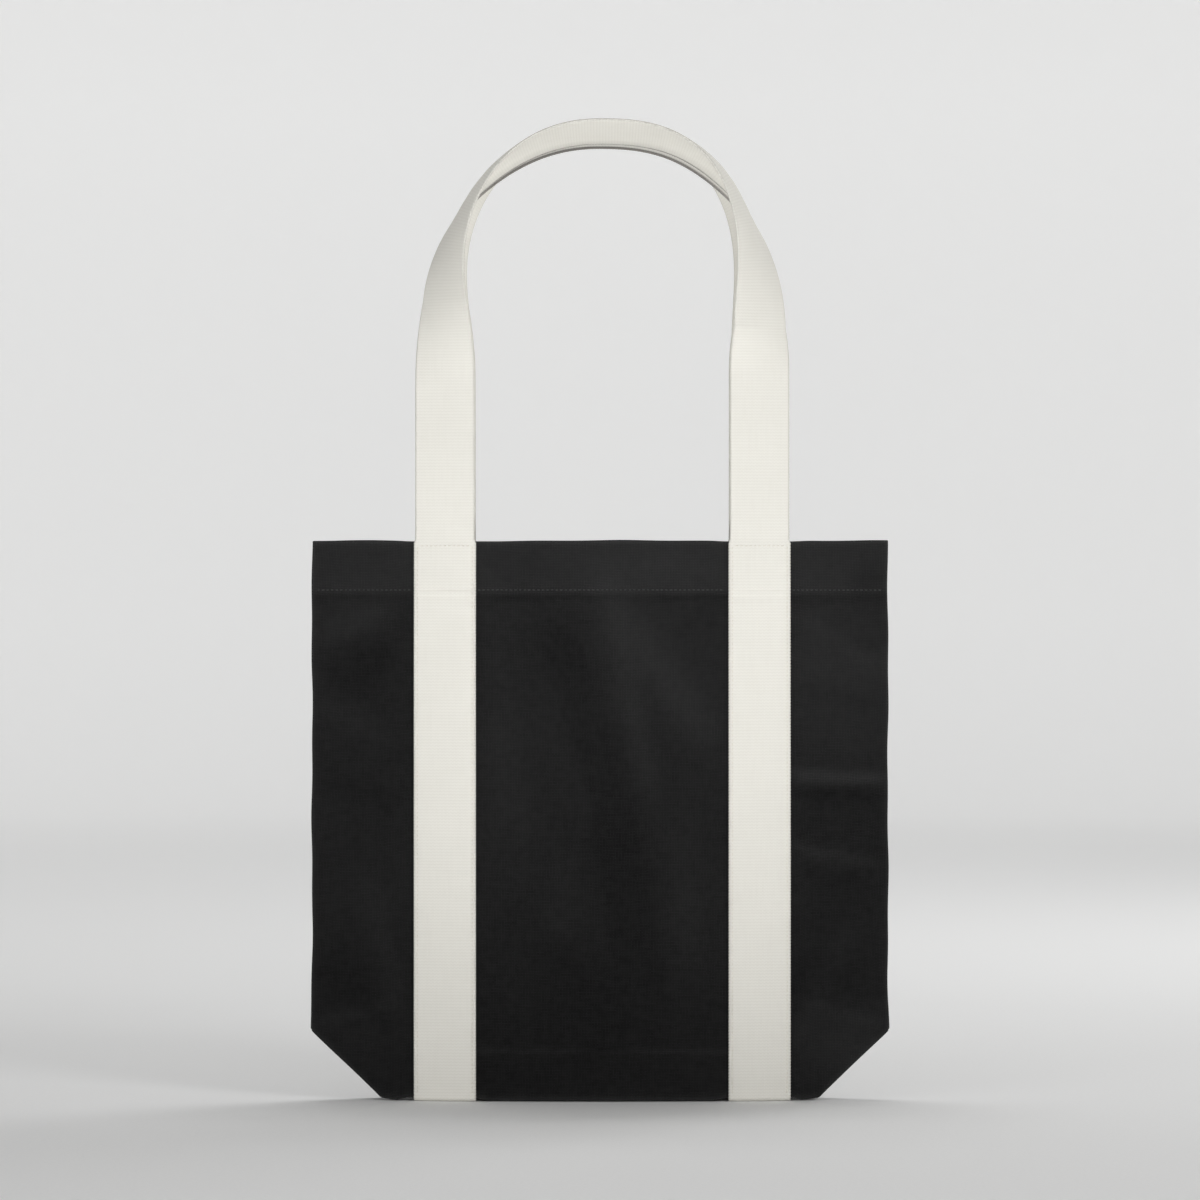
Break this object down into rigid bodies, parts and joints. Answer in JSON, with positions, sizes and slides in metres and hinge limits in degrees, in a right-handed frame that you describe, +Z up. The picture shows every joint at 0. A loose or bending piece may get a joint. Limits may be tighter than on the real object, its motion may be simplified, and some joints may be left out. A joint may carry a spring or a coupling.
{
  "type": "canvas tote bag",
  "caption": "Open-topped canvas shopping bag, pressed nearly flat, with boxed corners and long webbing handles whose legs run down its faces and under its base.",
  "frame": {"origin": "under the middle of the base, on the surface the bag stands on", "axes": "+X across the bag from seam to seam, +Y from the front face to the back face, +Z up to the handles"},
  "size_m": [0.38, 0.083, 0.644],
  "materials": {
    "canvas": "matt charcoal plain-weave cotton canvas",
    "binding_tape": "thin matt black twill tape",
    "webbing": "matt cream cotton webbing with fine cross ribs",
    "dark_thread": "charcoal sewing thread",
    "pale_thread": "cream sewing thread",
    "label_tape": "blank white satin tape"
  },
  "bodies": {
    "bag": {"front_panel": "canvas", "back_panel": "canvas", "front_hem": "canvas", "back_hem": "canvas", "left_side_binding": "binding_tape", "right_side_binding": "binding_tape", "bottom_seam_binding": "binding_tape", "left_corner_binding": "binding_tape", "right_corner_binding": "binding_tape", "front_strap_left": "webbing", "front_strap_right": "webbing", "back_strap_left": "webbing", "back_strap_right": "webbing", "front_hem_stitching": "dark_thread", "back_hem_stitching": "dark_thread", "front_strap_stitching": "pale_thread", "back_strap_stitching": "pale_thread", "front_handle_tacks": "pale_thread", "back_handle_tacks": "pale_thread", "care_label": "label_tape"},
    "front_handle": {"front_handle": "webbing"},
    "back_handle": {"back_handle": "webbing"}
  },
  "joints": [
    {"name": "front_handle_fold", "type": "hinge", "parent": "bag", "child": "front_handle", "pos_m": [0, -0.0165, 0.368], "axis": [1, 0, 0], "range_deg": [0, 172]},
    {"name": "back_handle_fold", "type": "hinge", "parent": "bag", "child": "back_handle", "pos_m": [0, 0.0165, 0.368], "axis": [-1, 0, 0], "range_deg": [0, 172]}
  ]
}
